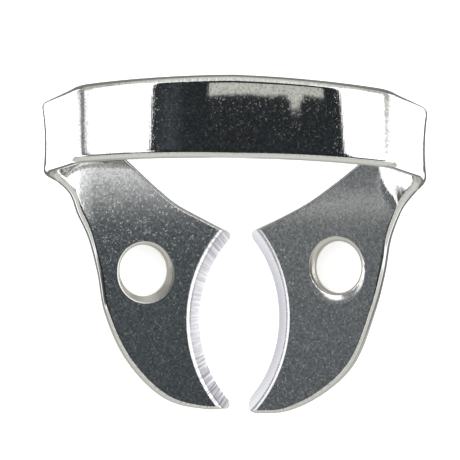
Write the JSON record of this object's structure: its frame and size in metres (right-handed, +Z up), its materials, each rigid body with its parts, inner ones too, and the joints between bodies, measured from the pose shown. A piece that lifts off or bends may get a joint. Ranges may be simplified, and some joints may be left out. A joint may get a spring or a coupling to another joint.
{
  "type": "rubber dam clamp",
  "caption": "Folded spring steel tooth clamp: a bow over two pierced jaws, whose ground crescents end in prongs that grip the tooth and hold the dam.",
  "frame": {"origin": "on the axis of the gripped tooth, midway between the two crescents, where the top planes of both jaws would meet", "axes": "+X from the left jaw to the right jaw, +Y from the tooth to the bow's side, +Z up from the tooth's root to its crown"},
  "size_m": [0.0248, 0.022, 0.0135],
  "materials": {
    "polished_steel": "polished, tumbled edges"
  },
  "bodies": {
    "root": {"clamp_body": "polished_steel"}
  },
  "joints": []
}
